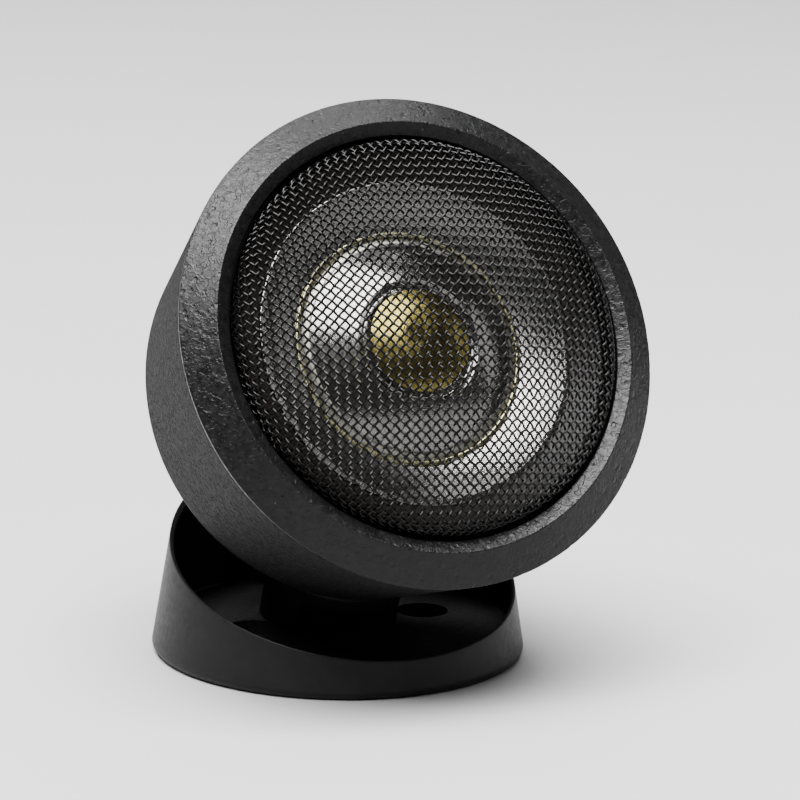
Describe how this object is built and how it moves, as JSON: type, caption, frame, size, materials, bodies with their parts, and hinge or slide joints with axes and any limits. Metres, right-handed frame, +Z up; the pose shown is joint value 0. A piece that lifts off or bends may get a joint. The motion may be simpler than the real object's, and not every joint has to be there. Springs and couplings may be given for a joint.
{
  "type": "car tweeter",
  "caption": "Surface-mount car tweeter: ball-shaped swivelling head with domed mesh grille, textured ring and silver dome diaphragm on a wedge-cut round base.",
  "frame": {"origin": "centre of the flat underside of the base, on the panel it is fastened to", "axes": "+Z up out of the panel, the head faces -Y, +X to the right of someone who looks along +Y"},
  "size_m": [0.056, 0.0563, 0.0656],
  "materials": {
    "base_plastic": "fine matte texture",
    "zinc_steel": "zinc plated",
    "black_rubber": "matte",
    "spring_steel": "plain",
    "saddle_plastic": "natural acetal",
    "housing_paint": "fine textured charcoal paint",
    "ring_paint": "coarse wrinkle charcoal paint",
    "mesh_steel": "satin black wire",
    "trim_plastic": "satin",
    "frame_plastic": "satin",
    "black_screw": "black oxide",
    "spun_aluminium": "spun and polished",
    "gold_ring": "anodised",
    "surround_film": "satin film",
    "dome_aluminium": "polished",
    "dome_gold": "gold coloured, polished",
    "former_film": "amber film",
    "coil_copper": "enamelled copper wire",
    "motor_steel": "zinc plated",
    "magnet_nickel": "nickel plated",
    "felt": "felt",
    "board": "laminate",
    "tab_brass": "plain"
  },
  "bodies": {
    "base": {"base_shell": "base_plastic", "base_plate": "zinc_steel", "plate_screws": "zinc_steel", "lead_grommet": "black_rubber", "seat_pad": "black_rubber", "clamp_stud": "zinc_steel", "clamp_washer": "zinc_steel", "disc_springs": "spring_steel", "clamp_nut": "zinc_steel"},
    "swivel": {"saddle": "saddle_plastic"},
    "head": {"housing_collar": "housing_paint", "housing_bowl": "housing_paint", "front_ring": "ring_paint", "grille_trim_ring": "trim_plastic", "mesh_grille": "mesh_steel", "driver_frame": "frame_plastic", "driver_gasket": "black_rubber", "driver_screws": "black_screw", "waveguide_flare": "spun_aluminium", "diaphragm_clamp_ring": "gold_ring", "outer_surround": "surround_film", "top_plate": "motor_steel", "magnet": "magnet_nickel", "yoke": "motor_steel", "centre_felt": "felt", "felt_ring": "felt", "terminal_board": "board", "terminal_tabs": "tab_brass"},
    "diaphragm": {"annular_dome": "dome_aluminium", "dome_joint_ring": "dome_aluminium", "centre_dome": "dome_gold", "voice_coil_former": "former_film", "voice_coil": "coil_copper"}
  },
  "joints": [
    {"name": "head_pan", "type": "hinge", "parent": "base", "child": "swivel", "pos_m": [0, -0.0082, 0.0343], "axis": [0, -0.342, 0.9397], "range_deg": [-90, 90]},
    {"name": "head_tilt", "type": "hinge", "parent": "swivel", "child": "head", "pos_m": [0, -0.0082, 0.0343], "axis": [-1, 0, 0], "range_deg": [-15, 15]},
    {"name": "diaphragm_travel", "type": "slide", "parent": "head", "child": "diaphragm", "axis": [0, -0.891, 0.454], "range_m": [-0.0003, 0.0003], "stiffness_N_per_m": 1000, "deforming": ["outer_surround"]}
  ]
}
